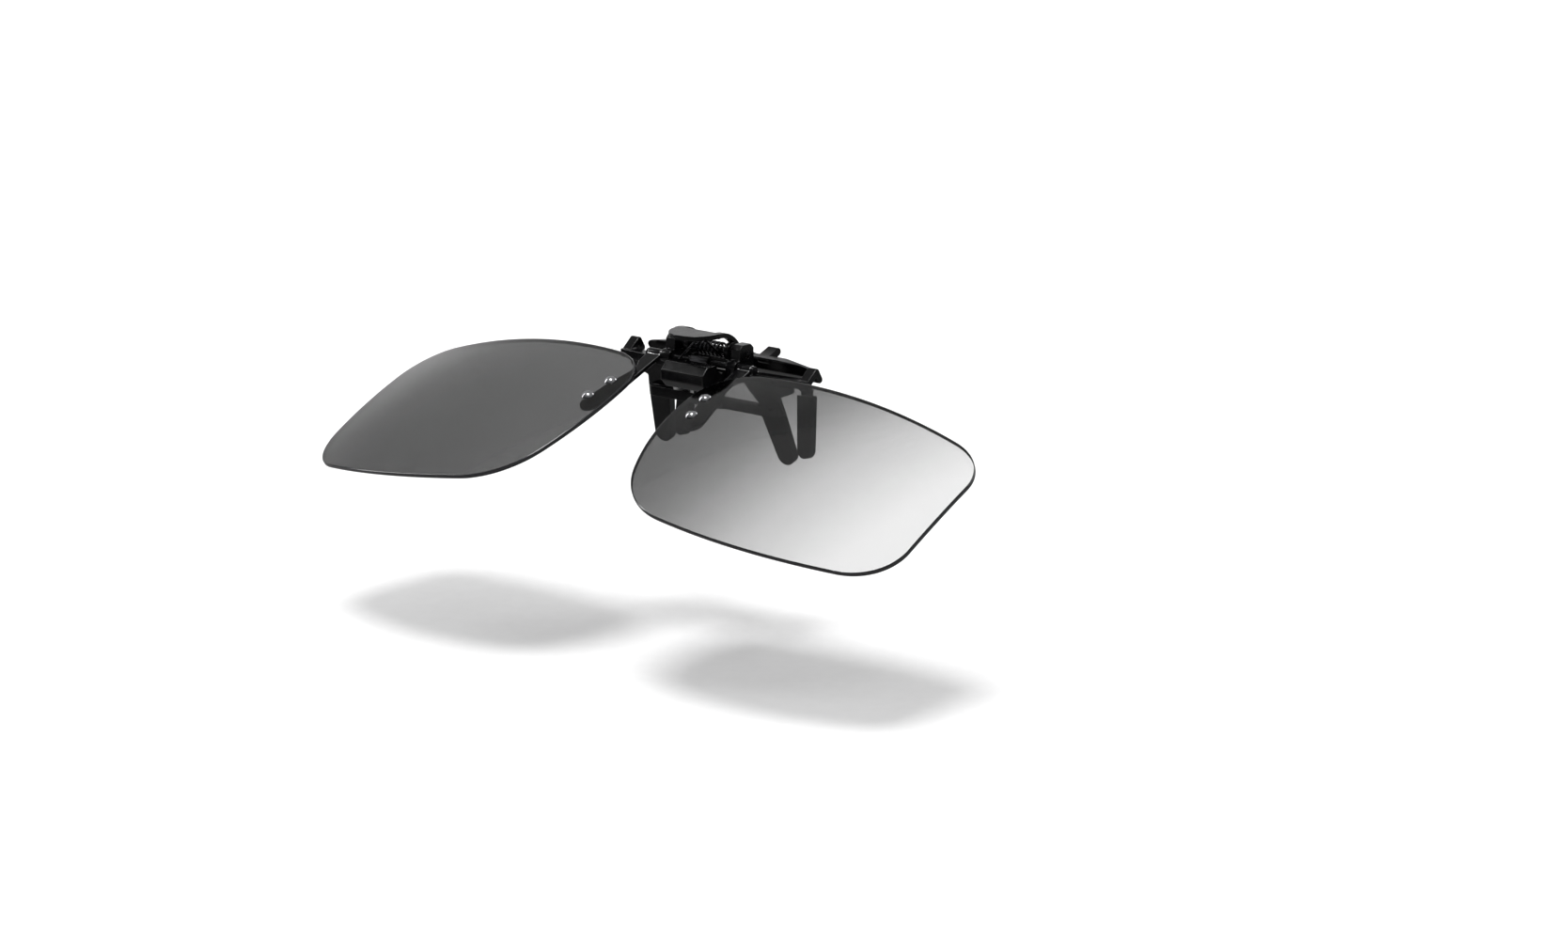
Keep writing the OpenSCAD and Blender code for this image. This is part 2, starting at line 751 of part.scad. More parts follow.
// Clamp spring: one wire wound round the pin, with a leg on the block and a leg under the thumb plate
leg_down_angle = 120;
leg_up_angle = 230;
rings_per_turn = 8;
wire_sides = 6;
block_leg_z = block_top + wire_d / 2 + seat_clear;
thumb_leg_z = thumb_low - wire_d / 2 - seat_clear;
wind_total = leg_down_angle - leg_up_angle + 360 * (coil_turns + 1);
wind_steps = ceil(wind_total / 360 * rings_per_turn);

function coil_point(a, x) = [x, pin_y + coil_r * cos(a), pin_up + coil_r * sin(a)];
// End of a leg that leaves the coil at the angle a along the tangent d and stops at the height z
function leg_end(a, x, d, z) = coil_point(a, x) + d * (z - coil_point(a, x)[2]) / d[2];
down_way = [0, -sin(leg_down_angle), cos(leg_down_angle)];
up_way = [0, sin(leg_up_angle), -cos(leg_up_angle)];
coil = [
    for (k = [0:wind_steps])
        coil_point(leg_down_angle - wind_total * k / wind_steps, coil_w * (k / wind_steps - 0.5))
];
block_end = leg_end(leg_down_angle, -coil_w / 2, down_way, block_leg_z);
thumb_end = leg_end(leg_up_angle, coil_w / 2, up_way, thumb_leg_z);
wire_path = concat(
    [block_end, block_end - wire_d * down_way], coil, [thumb_end - wire_d * up_way, thumb_end]
);
wire_last = len(wire_path) - 1;

function unit(v) = v / norm(v);
function wire_way(i) = unit(wire_path[min(i + 1, wire_last)] - wire_path[max(i - 1, 0)]);
function wire_ring(i) =
    let (way = wire_way(i), out = unit(cross(way, [1, 0, 0])), up = cross(way, out))
    [
        for (k = [0:wire_sides - 1])
            wire_path[i] + wire_d / 2 * (out * cos(360 * k / wire_sides) + up * sin(360 * k / wire_sides))
    ];
wire_points = [for (i = [0:wire_last], p = wire_ring(i)) p];
function wire_at(i, k) = i * wire_sides + k % wire_sides;
wire_faces = concat(
    [for (k = [1:wire_sides - 2]) [0, k, k + 1]],
    [
        for (i = [0:wire_last - 1], k = [0:wire_sides - 1], half = [0, 1])
            half == 0
                ? [wire_at(i, k), wire_at(i + 1, k), wire_at(i + 1, k + 1)]
                : [wire_at(i, k), wire_at(i + 1, k + 1), wire_at(i, k + 1)]
    ],
    [for (k = [1:wire_sides - 2]) [wire_at(wire_last, 0), wire_at(wire_last, k + 1), wire_at(wire_last, k)]]
);
near_rings = 5;
wire_gap = min([
    for (i = [0:wire_last], j = [i + near_rings:1:wire_last]) norm(wire_path[i] - wire_path[j]) - wire_d
]);
echo(least_gap_of_the_spring_wire = wire_gap);

module clamp_spring() {
    color(steel) polyhedron(points = wire_points, faces = wire_faces, convexity = 10);
}

// Flip axle with its cam, washers and end caps
axle_cap_t = 0.5;
axle_cap_step = 0.1;
axle_cap_r = eye_r - axle_cap_step;

module flip_axle() {
    color(black) at_axle() bar_x(axle_r, -eye_out, eye_out);
}

module axle_caps() {
    color(black) for (side = [0, 1]) mirror([side, 0, 0])
        at_axle() bar_x(axle_cap_r, eye_out, eye_out + axle_cap_t);
}

module axle_washers() {
    color(steel) for (side = [0, 1]) mirror([side, 0, 0]) at_axle() difference() {
        bar_x(axle_cap_r, ear_out + seat_clear, ear_out + seat_clear + washer_t);
        bar_x(axle_r + run_clear, 0, far);
    }
}

module detent_cam() {
    color(steel) flip_place() difference() {
        intersection() {
            bar_x(cam_r, -cam_w / 2, cam_w / 2);
            rotate([flip_angle - 45, 0, 0]) translate([-cam_w / 2, -cam_flats / 2, -cam_flats / 2])
                cube([cam_w, cam_flats, cam_flats]);
        }
        bar_x(axle_r + seat_clear, -far, far);
    }
}

// Lens arms: a rolled eye on the axle, a narrow neck and a flat tab behind the lens
neck_out = eye_in + neck_w;

module arm_outline() {
    half = tab_w / 2;
    upper = tab_points[0];
    lower = tab_points[1];
    along = (lower - upper) / norm(lower - upper);
    across = [-along[1], along[0]];
    for (p = tab_points) translate(p) circle(r = half);
    polygon([upper + half * across, lower + half * across, lower - half * across, upper - half * across]);
    polygon([
        [eye_in, 0], [eye_out, 0], [eye_out, -neck_top], [neck_out, -neck_bend], [neck_out, -neck_low],
        upper + half * across, upper - half * across
    ]);
}

module right_arm() {
    color(black) difference() {
        arm_place() {
            bar_x(eye_r, eye_in, eye_out);
            along_y(tab_front, arm_back) arm_outline();
        }
        at_axle() bar_x(axle_r + seat_clear, 0, far);
        lens_place() shank_holes();
    }
}

module left_arm() {
    left_side() right_arm();
}

// Lenses, with their screws and the caps behind the tabs
module shank_holes() {
    for (s = screws) on_lens(s) translate([0, 0, -shank_depth])
        cylinder(r = shank_r + run_clear, h = shank_depth + lens_t);
}

module right_lens() {
    color(smoke) lens_place() difference() {
        intersection() {
            translate(crown_c) difference() {
                sphere(r = lens_r, $fn = fine);
                sphere(r = lens_r - lens_t, $fn = fine);
            }
            along_y(-far / 2, far / 2) polygon(lens_outline);
        }
        shank_holes();
    }
}

module left_lens() {
    left_side() right_lens();
}

module right_lens_screws() {
    dome_r = (head_r * head_r + head_h * head_h) / (2 * head_h);
    shank_share = 0.6;
    color(steel) lens_place() for (s = screws) on_lens(s) {
        translate([0, 0, seat_clear]) intersection() {
            translate([0, 0, head_h - dome_r]) sphere(r = dome_r);
            cylinder(r = head_r, h = head_h);
        }
        translate([0, 0, -lens_t - shank_share * arm_t])
            cylinder(r = shank_r, h = lens_t + shank_share * arm_t + seat_clear + head_h / 4);
    }
}

module left_lens_screws() {
    left_side() right_lens_screws();
}

module right_screw_caps() {
    color(steel) arm_place() for (p = tab_points)
        translate([p[0], arm_back, p[1]]) rotate([-90, 0, 0]) cylinder(r = cap_r, h = cap_h);
}

module left_screw_caps() {
    left_side() right_screw_caps();
}

// Rear lever: thumb plate, two curved strips over the pin, hubs, rear jaw plate and two legs
strip_end = 23;
strip_start = 97;
thumb_forward = 0.9;
thumb_c = strip_y - thumb_forward;
lever_in = lever_out - strip_w;

// Side line of the rear jaw plate, from the strips to the legs
knee_over = 0.8;
knee = rear_leg_line(rear_sleeve_l + knee_over);
strip_tail = [strip_y, strip_z] + spoke(strip_r - lever_t / 2, strip_end);
heel = [pin_y + heel_back, pin_up - heel_below];
upper_bend = knee + [-bend_forward, bend_rise];
rear_line = [strip_tail, heel, upper_bend, knee];
// Point on the middle line of the rear leg in Y and Z, at a distance from its tip
function rear_leg_line(l) = [
    tip_y + l * cos(rear_splay) * sin(rear_lean), -tip_below + l * cos(rear_splay) * cos(rear_lean)
];

// A line of straight strokes with round ends, of a given thickness
module strokes(line, t) {
    for (p = line) translate(p) circle(d = t);
    for (i = [0:len(line) - 2]) {
        along = unit(line[i + 1] - line[i]);
        across = [-along[1], along[0]] * t / 2;
        polygon([line[i] + across, line[i + 1] + across, line[i + 1] - across, line[i] - across]);
    }
}

shoulder_below = 1.1;
shoulder_up = pin_up - shoulder_below;
shoulder_slope = 0.95;
shoulder_c = [shoulder_side - shoulder_r, shoulder_up - shoulder_slope - shoulder_r];
arch_bevel = 1.5;
crest_w = 1;
crest_h = 0.5;
bridge_drop = 1;
strip_over = 2;
leg_shift = rear_sleeve_l * sin(rear_splay);
rear_inner = tip_side - leg_shift - rear_sleeve_w / 2 + leg_margin;
rear_outer = tip_side - leg_shift + rear_sleeve_w / 2 - leg_margin;

// Half of the rear jaw plate seen from the front
module rear_half_outline() {
    translate(shoulder_c) circle(r = shoulder_r);
    polygon([
        [0, rear_arch_up], [rear_inner - arch_bevel, rear_arch_up], [rear_inner, rear_arch_up - arch_bevel],
        [rear_inner, knee[1]], [rear_outer, knee[1]], [rear_outer, shoulder_c[1] - 2 * shoulder_r],
        shoulder_c - [0, shoulder_r], shoulder_c + [0, shoulder_r],
        [shoulder_flat, shoulder_up], [lever_out + crest_w, shoulder_up],
        [lever_out, shoulder_up + crest_h],
        [lever_out, pin_up + strip_over], [lever_in, pin_up + strip_over],
        [lever_in, shoulder_up - bridge_drop], [0, shoulder_up - bridge_drop]
    ]);
}

lug_apart = 2.1;
lug_side = lever_out + lug_apart;
lug_foot = [heel[0], shoulder_up - lug_t / 2];
lug_line = [lug_foot, lug_foot + [lug_reach, lug_rise]];

module rear_half() {
    along_x(lever_in, lever_out) translate([strip_y, strip_z])
        ring_part(strip_r - lever_t, strip_r, strip_end, strip_start);
    at_pin() bar_x(hub_r, lever_out - hub_w, lever_out);
    intersection() {
        along_x(0, shoulder_side) strokes(rear_line, rear_t);
        along_y(-far, far) rear_half_outline();
    }
    along_x(lug_side, lug_side + lug_w) strokes(lug_line, lug_t);
    intersection() {
        rear_leg_place() leg(rear_sleeve_l, rear_sleeve_w, rear_tip_r);
        right_layer(-far, knee[1]);
    }
}

module thumb_outline() {
    intersection() {
        translate([0, thumb_c]) circle(r = thumb_r);
        translate([-far, -far]) square([2 * far, far + strip_y]);
    }
}

module rear_lever() {
    color(black) difference() {
        union() {
            translate([0, 0, thumb_low]) linear_extrude(lever_t) thumb_outline();
            for (side = [0, 1]) mirror([side, 0, 0]) rear_half();
        }
        at_pin() bar_x(pin_r + run_clear, -far, far);
    }
}

module left_rear_sleeve() {
    left_side() right_rear_sleeve();
}

module right_rear_sleeve() {
    rear_leg_place() sleeve(rear_sleeve_l, rear_sleeve_w, rear_tip_r);
}

clamp_frame();
front_jaw();
hook_bar();
hinge_block();
detent_leaf();
frame_screws();
bar_rivets();
left_front_sleeve();
right_front_sleeve();
clamp_pin();
pin_spacers();
clamp_spring();
axle_washers();
flip_axle();
detent_cam();
axle_caps();
left_arm();
right_arm();
left_lens();
right_lens();
left_lens_screws();
right_lens_screws();
left_screw_caps();
right_screw_caps();
rear_lever();
left_rear_sleeve();
right_rear_sleeve();
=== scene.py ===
# %% [markdown]
# # Clip-on flip lenses
# Two rimless tinted lenses hang on a small sprung clamp and flip up out of the way.
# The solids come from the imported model, and this lesson dresses them: first the stage, then the
# finishes, then one piece after another. Lengths are in metres, in the frame of the model. The
# lens and the spring are worked out in millimetres, and MM turns them into metres at the end.

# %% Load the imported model
import bmesh
import bpy
import json
import math
from mathutils import Matrix, Vector
from mathutils.bvhtree import BVHTree

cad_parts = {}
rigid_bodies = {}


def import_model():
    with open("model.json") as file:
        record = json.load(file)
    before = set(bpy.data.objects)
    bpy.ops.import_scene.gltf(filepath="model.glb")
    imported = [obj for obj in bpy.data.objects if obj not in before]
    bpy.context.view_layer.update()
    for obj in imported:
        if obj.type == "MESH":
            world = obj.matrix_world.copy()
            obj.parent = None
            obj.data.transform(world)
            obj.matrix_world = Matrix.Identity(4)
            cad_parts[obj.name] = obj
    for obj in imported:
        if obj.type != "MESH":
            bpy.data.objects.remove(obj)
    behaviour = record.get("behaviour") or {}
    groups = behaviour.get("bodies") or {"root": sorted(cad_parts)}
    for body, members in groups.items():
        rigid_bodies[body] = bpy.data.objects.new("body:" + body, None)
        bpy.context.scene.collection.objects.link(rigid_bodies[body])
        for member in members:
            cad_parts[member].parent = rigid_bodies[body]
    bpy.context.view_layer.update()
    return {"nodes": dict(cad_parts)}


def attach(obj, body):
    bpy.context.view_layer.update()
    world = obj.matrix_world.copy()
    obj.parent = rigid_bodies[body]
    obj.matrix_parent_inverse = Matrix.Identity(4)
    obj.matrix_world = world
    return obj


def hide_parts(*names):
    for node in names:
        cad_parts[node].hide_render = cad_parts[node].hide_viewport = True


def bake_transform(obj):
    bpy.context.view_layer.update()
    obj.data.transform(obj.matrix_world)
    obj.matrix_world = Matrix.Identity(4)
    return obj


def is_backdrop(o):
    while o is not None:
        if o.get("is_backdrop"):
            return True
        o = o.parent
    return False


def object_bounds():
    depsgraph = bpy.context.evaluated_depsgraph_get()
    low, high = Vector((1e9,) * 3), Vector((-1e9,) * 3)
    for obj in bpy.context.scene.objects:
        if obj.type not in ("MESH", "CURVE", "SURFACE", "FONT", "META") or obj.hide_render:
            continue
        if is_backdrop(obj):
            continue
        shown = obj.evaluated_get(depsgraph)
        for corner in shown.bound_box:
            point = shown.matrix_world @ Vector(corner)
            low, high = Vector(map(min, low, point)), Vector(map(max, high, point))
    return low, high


for leftover in list(bpy.data.objects):
    bpy.data.objects.remove(leftover)
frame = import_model()
MM = 0.001

# %% [markdown]
# ## The camera
# A long lens stands far off, a little above the clamp and to its side, so the near lens looks
# only slightly larger than the far one. Its place was worked out from the two mirror-image lens
# outlines. Typing the place and the angles in is simpler than a tracking constraint.

# %% Camera
FROM_THE_SIDE = 39.1
FROM_ABOVE = 14.1
FOCAL_MM = 117.82
SENSOR_MM = 36
NEAREST_SEEN = 0.01
CAMERA_PLACE = (0.5868, -0.70793, 0.22489)
camera_data = bpy.data.cameras.new("photo_camera")
camera_data.lens = FOCAL_MM
camera_data.sensor_width = SENSOR_MM
camera_data.clip_start = NEAREST_SEEN
photo_camera = bpy.data.objects.new("photo_camera", camera_data)
photo_camera.location = CAMERA_PLACE
photo_camera.rotation_euler = (math.radians(90 - FROM_ABOVE), 0, math.radians(FROM_THE_SIDE))
bpy.context.scene.collection.objects.link(photo_camera)
bpy.context.scene.camera = photo_camera
print("camera is", round(photo_camera.location.length, 3), "m from the pads")

# %% [markdown]
# ## The stage
# The clip is photographed about 36 mm above the surface under it, so the floor lies that far below
# the pads and catches one soft shadow under each lens. A wide plane could end in a hard horizon,
# so this floor curves up behind into a wall, as a paper roll does in a studio. Every new mesh of
# this lesson is built in a bmesh, and one helper turns it into an object of the scene.

# %% Floor
FLOOR_Z = -0.036
FLOOR_HALF = 2.4
CURVE_START = 1.2
CURVE_RADIUS = 0.8
CURVE_STEPS = 24
WALL_HEIGHT = 3


def as_object(name, shape):
    """Turns a bmesh into a smoothly shaded object, and lets the bmesh go."""
    for face in shape.faces:
        face.smooth = True
    mesh = bpy.data.meshes.new(name)
    shape.to_mesh(mesh)
    shape.free()
    made = bpy.data.objects.new(name, mesh)
    bpy.context.scene.collection.objects.link(made)
    return made


def floor_section():
    """The roll seen from its side, as (distance back, height)."""
    section = [(-FLOOR_HALF, FLOOR_Z), (CURVE_START, FLOOR_Z)]
    for step in range(1, CURVE_STEPS + 1):
        angle = math.pi / 2 * step / CURVE_STEPS
        section.append((
            CURVE_START + CURVE_RADIUS * math.sin(angle),
            FLOOR_Z + CURVE_RADIUS * (1 - math.cos(angle)),
        ))
    section.append((CURVE_START + CURVE_RADIUS, FLOOR_Z + WALL_HEIGHT))
    return section


def make_floor():
    sheet = bmesh.new()
    turn = Matrix.Rotation(math.radians(FROM_THE_SIDE), 4, "Z")
    rows = []
    for back, height in floor_section():
        ends = (Vector((-FLOOR_HALF, back, height)), Vector((FLOOR_HALF, back, height)))
        rows.append([sheet.verts.new(turn @ end) for end in ends])
    for near, far in zip(rows, rows[1:]):
        sheet.faces.new((near[0], near[1], far[1], far[0]))
    return as_object("studio_floor", sheet)


studio_floor = make_floor()
studio_floor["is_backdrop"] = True
floor_faces = len(studio_floor.data.polygons)
print("floor lies", FLOOR_Z / MM, "mm from the pads, with", floor_faces, "faces")

# %% [markdown]
# ## Small helpers for finishes
# A finish is a node tree, most often on the standard surface shader. It could be clicked together
# in the shader editor, but a script can be read and run again. These helpers add a node, give a
# noise in the model's own coordinates, and turn a noise into a colour, a number or a bump, so a
# finish reads as a short list. Noise scales are per metre: 1000 means about one blotch per
# millimetre. Most of a noise lies between 0.3 and 0.7.

# %% Finish helpers
NOISE_LOW = 0.3
NOISE_HIGH = 0.7
SKIN_HEIGHT = 0.01 * MM


def grey(level):
    return (level, level, level)


def new_finish(name):
    finish = bpy.data.materials.new(name)
    finish.use_nodes = True
    return finish, finish.node_tree, finish.node_tree.nodes["Principled BSDF"]


def add(tree, kind, settings=(), **inputs):
    node = tree.nodes.new(kind)
    for name, value in dict(settings).items():
        setattr(node, name, value)
    for name, value in inputs.items():
        node.inputs[name.replace("_", " ")].default_value = value
    return node


def noise(tree, per_metre, detail=3.0, stretch=(1, 1, 1)):
    """A noise of that many blotches per metre, drawn out along an axis by stretch."""
    place = add(tree, "ShaderNodeTexCoord")
    shape = add(tree, "ShaderNodeMapping")
    shape.inputs["Scale"].default_value = stretch
    grain = add(tree, "ShaderNodeTexNoise", Scale=per_metre, Detail=detail)
    tree.links.new(place.outputs["Object"], shape.inputs["Vector"])
    tree.links.new(shape.outputs["Vector"], grain.inputs["Vector"])
    return grain.outputs["Fac"]


def ramp(tree, source, low, high, start=NOISE_LOW, end=NOISE_HIGH):
    """Turns a number into a colour between low and high."""
    node = add(tree, "ShaderNodeValToRGB")
    node.color_ramp.elements[0].position = start
    node.color_ramp.elements[0].color = (*low, 1)
    node.color_ramp.elements[1].position = end
    node.color_ramp.elements[1].color = (*high, 1)
    tree.links.new(source, node.inputs["Fac"])
    return node.outputs["Color"]


def spread(tree, source, low, high, start=NOISE_LOW, end=NOISE_HIGH):
    """Turns a number between start and end into one between low and high."""
    node = add(tree, "ShaderNodeMapRange")
    limits = {"From Min": start, "From Max": end, "To Min": low, "To Max": high}
    for name, value in limits.items():
        node.inputs[name].default_value = value
    tree.links.new(source, node.inputs["Value"])
    return node.outputs["Result"]


def bump(tree, shader, source, strength, height=SKIN_HEIGHT):
    """Roughens the light on the surface, as if the source raised it by height."""
    node = add(tree, "ShaderNodeBump", Strength=strength, Distance=height)
    tree.links.new(source, node.inputs["Height"])
    tree.links.new(node.outputs["Normal"], shader.inputs["Normal"])


print("finish helpers ready")

# %% [markdown]
# ## Paper floor
# Seamless paper is almost white, with a very faint fibre. A plain white would do, but the fibre
# keeps the soft shadows from looking computed. A studio lays black cards near a black product, so
# that its lower faces stay black. Here the flat part of the paper instead has a dark grey painted
# on for mirrored rays only, a painted reflection of such cards, which leaves the picture of the
# floor white.

# %% Floor finish
DARK_REFLECTION_TOP = 0.15
PAINTED_REFLECTION_GREY = 0.28
paper, tree, shader = new_finish("white_paper")
fibre = noise(tree, per_metre=400, detail=5)
white = ramp(tree, fibre, low=grey(0.86), high=grey(0.88))
place = add(tree, "ShaderNodeTexCoord")
parts = add(tree, "ShaderNodeSeparateXYZ")
tree.links.new(place.outputs["Object"], parts.inputs["Vector"])
# Painted reflection: the flat paper shows a dark grey to mirrored rays only, in place of black
# cards.
flat = spread(tree, parts.outputs["Z"], low=1.0, high=0.0, start=FLOOR_Z, end=DARK_REFLECTION_TOP)
kind_of_ray = add(tree, "ShaderNodeLightPath")
painted_reflection_share = add(tree, "ShaderNodeMath", {"operation": "MULTIPLY"})
tree.links.new(flat, painted_reflection_share.inputs[0])
tree.links.new(kind_of_ray.outputs["Is Glossy Ray"], painted_reflection_share.inputs[1])
painted_reflection_colour = add(tree, "ShaderNodeMix", {"data_type": "RGBA"})
painted_reflection_colour.inputs["B"].default_value = (*grey(PAINTED_REFLECTION_GREY), 1)
tree.links.new(painted_reflection_share.outputs["Value"], painted_reflection_colour.inputs["Factor"])
tree.links.new(white, painted_reflection_colour.inputs["A"])
tree.links.new(painted_reflection_colour.outputs["Result"], shader.inputs["Base Color"])
shader.inputs["Roughness"].default_value = 0.9
shader.inputs["Specular IOR Level"].default_value = 0.0
studio_floor.data.materials.append(paper)
print("floor finish:", paper.name)

# %% [markdown]
# ## Light
# The product is lit from a wide soft lamp overhead. A lamp that is far off lights the whole floor
# evenly, so the floor stays white to its far end, where a near one would leave a pool of light.
# The camera sees a white room. A glossy black piece shows what it mirrors, so for all other rays
# the room is dark at eye level and brighter above: that leaves the upright faces black and the
# upper faces grey. Two strips, one at the left and one behind, draw the thin light lines along
# the edges.

# %% Room and lamps
SEEN_STRENGTH = 1.05
scene = bpy.context.scene
scene.view_settings.view_transform = "Standard"
room = bpy.data.worlds.new("studio_room")
room.use_nodes = True
scene.world = room
tree = room.node_tree
for old in list(tree.nodes):
    tree.nodes.remove(old)
direction = add(tree, "ShaderNodeTexCoord")
parts = add(tree, "ShaderNodeSeparateXYZ")
tree.links.new(direction.outputs["Generated"], parts.inputs["Vector"])
walls = ramp(
    tree, parts.outputs["Z"], low=(0.08, 0.08, 0.084), high=grey(0.62), start=0.3, end=0.8
)
seen = add(tree, "ShaderNodeBackground", Strength=SEEN_STRENGTH)
seen.inputs["Color"].default_value = (1, 1, 1, 1)
mirrored = add(tree, "ShaderNodeBackground", Strength=1.0)
tree.links.new(walls, mirrored.inputs["Color"])
kind_of_ray = add(tree, "ShaderNodeLightPath")
chosen = add(tree, "ShaderNodeMixShader")
tree.links.new(kind_of_ray.outputs["Is Camera Ray"], chosen.inputs["Fac"])
tree.links.new(mirrored.outputs["Background"], chosen.inputs[1])
tree.links.new(seen.outputs["Background"], chosen.inputs[2])
world_output = add(tree, "ShaderNodeOutputWorld")
tree.links.new(chosen.outputs["Shader"], world_output.inputs["Surface"])


def hang(lamp, place):
    """Puts a lamp at place and aims it at the pads."""
    holder = bpy.data.objects.new(lamp.name, lamp)
    holder.location = place
    holder.rotation_euler = (-Vector(place)).to_track_quat("-Z", "Y").to_euler()
    scene.collection.objects.link(holder)
    return holder


def sky_lamp(name, place, strength, spread_degrees):
    """Light that comes from far off in the direction of place, from a disc of that width."""
    lamp = bpy.data.lights.new(name, "SUN")
    lamp.energy = strength
    lamp.angle = math.radians(spread_degrees)
    return hang(lamp, place)


def soft_box(name, place, size, power):
    lamp = bpy.data.lights.new(name, "AREA")
    lamp.shape = "RECTANGLE"
    lamp.size, lamp.size_y = size
    lamp.energy = power
    return hang(lamp, place)


lamps = [
    sky_lamp("overhead_sky", place=(0.1, -0.25, 1.0), strength=2.3, spread_degrees=21),
    soft_box("left_strip", place=(-0.9, -0.35, 0.45), size=(0.12, 0.8), power=4.5),
    soft_box("back_strip", place=(0.35, 0.8, 0.55), size=(0.7, 0.15), power=2.5),
]
print("lamps:", [lamp.name for lamp in lamps])

# %% [markdown]
# ## Black coated metal
# The clamp is stamped sheet and a small block, all with a glossy black coat. A black coat isn't
# one flat black: it has a fine orange-peel skin and it is duller in some places. Along its rounded
# edges the colour is painted lighter and metallic, a painted highlight that draws thin light lines.
# The pieces made below mark their rounded edges with a face value called edge, and the finish reads
# that value. A mask painted by hand would be another way, but it would have to be painted again for
# each change of shape. The thin arms need a brighter painted edge highlight, so one function makes
# both coats.

# %% Black coat
COAT_MIRROR = 0.12


def coat_finish(name, edge_highlight_grey):
    """A black coat. Its rounded edges get the given grey, metallic: a painted highlight."""
    finish, tree, shader = new_finish(name)
    cloud = noise(tree, per_metre=700, detail=4)
    body_colour = ramp(tree, cloud, low=(0.0018, 0.0018, 0.002), high=(0.004, 0.004, 0.0044))
    # Painted highlight: every rounded edge gets a lighter, metallic colour.
    edge = add(tree, "ShaderNodeAttribute", {"attribute_name": "edge"})
    edge_highlight_mix = add(tree, "ShaderNodeMix", {"data_type": "RGBA"})
    edge_highlight_mix.inputs["B"].default_value = (*grey(edge_highlight_grey), 1)
    tree.links.new(edge.outputs["Fac"], edge_highlight_mix.inputs["Factor"])
    tree.links.new(body_colour, edge_highlight_mix.inputs["A"])
    tree.links.new(edge_highlight_mix.outputs["Result"], shader.inputs["Base Color"])
    tree.links.new(edge.outputs["Fac"], shader.inputs["Metallic"])
    tree.links.new(spread(tree, cloud, low=0.14, high=0.24), shader.inputs["Roughness"])
    bump(tree, shader, noise(tree, per_metre=5000, detail=2), strength=0.12)
    shader.inputs["Specular IOR Level"].default_value = COAT_MIRROR
    return finish


black_coat = coat_finish("black_coat", edge_highlight_grey=0.032)
arm_coat = coat_finish("arm_coat", edge_highlight_grey=0.24)
print("finishes:", black_coat.name, arm_coat.name)

# %% [markdown]
# ## Black silicone
# The four sleeves are soft black silicone. It looks duller than the coat, with a slight bloom of
# dust in blotches and a fine moulded skin. One dark colour would do from afar, but close up the
# blotches and the dull shine tell the sleeves from the coated legs inside them.

# %% Silicone
silicone, tree, shader = new_finish("black_silicone")
bloom = noise(tree, per_metre=500, detail=6)
dusty = ramp(tree, bloom, low=(0.003, 0.003, 0.0035), high=(0.007, 0.007, 0.0075))
tree.links.new(dusty, shader.inputs["Base Color"])
tree.links.new(spread(tree, bloom, low=0.42, high=0.58), shader.inputs["Roughness"])
bump(tree, shader, noise(tree, per_metre=7000, detail=3), strength=0.2)
shader.inputs["Sheen Weight"].default_value = 0.02
shader.inputs["Specular IOR Level"].default_value = COAT_MIRROR
print("finish:", silicone.name)

# %% [markdown]
# ## Bright and blackened steel
# The lens screws are polished steel, and the pin, the washers and the spring wire are drawn or
# turned steel that is blackened. Two node trees could be written, but one function makes both:
# the grain is the same noise, drawn out along the length for wire and left round for the
# polished heads.

# %% Steel finishes
def steel_finish(name, light, dark, shine, dull, stretch):
    finish, tree, shader = new_finish(name)
    grain = noise(tree, per_metre=3000, detail=4, stretch=stretch)
    tree.links.new(ramp(tree, grain, dark, light), shader.inputs["Base Color"])
    tree.links.new(spread(tree, grain, shine, dull), shader.inputs["Roughness"])
    bump(tree, shader, grain, strength=0.06)
    shader.inputs["Metallic"].default_value = 1.0
    return finish


polished_steel = steel_finish(
    "polished_steel", light=(0.34, 0.34, 0.35), dark=(0.24, 0.24, 0.25),
    shine=0.1, dull=0.18, stretch=(1, 1, 1),
)
drawn_steel = steel_finish(
    "drawn_steel", light=(0.03, 0.03, 0.032), dark=(0.016, 0.016, 0.017),
    shine=0.2, dull=0.34, stretch=(0.15, 1, 1),
)
print("finishes:", polished_steel.name, drawn_steel.name)

# %% [markdown]
# ## Tinted lens
# A lens is clear plastic with dye in it. What shows is mostly the white room seen through it,
# dimmed by the dye, with a faint mirror on top that grows toward a glancing view. A transparent
# shader tinted grey gives the dye, and a mix by the facing angle adds the mirror. The Fresnel
# node would turn the back surface into a full mirror here, because the light isn't bent on its
# way in. Light passes two surfaces, so each takes the square root of the whole tint. One lens is
# almost evenly smoked, and the other fades from smoke at the bridge to nearly clear at its outer
# end. Both read values that the mesh carries: how far a point is from the bridge, and how far
# from the top, from 0 to 1. Both lenses throw an equally grey shadow, so the light on its way to
# the floor meets one even tint.

# %% Lens finishes
HEAD_ON_MIRROR = 0.04
MIRROR_ROUGHNESS = 0.08
GLANCE_POWER = 5
SHADOW_TINT = 0.42


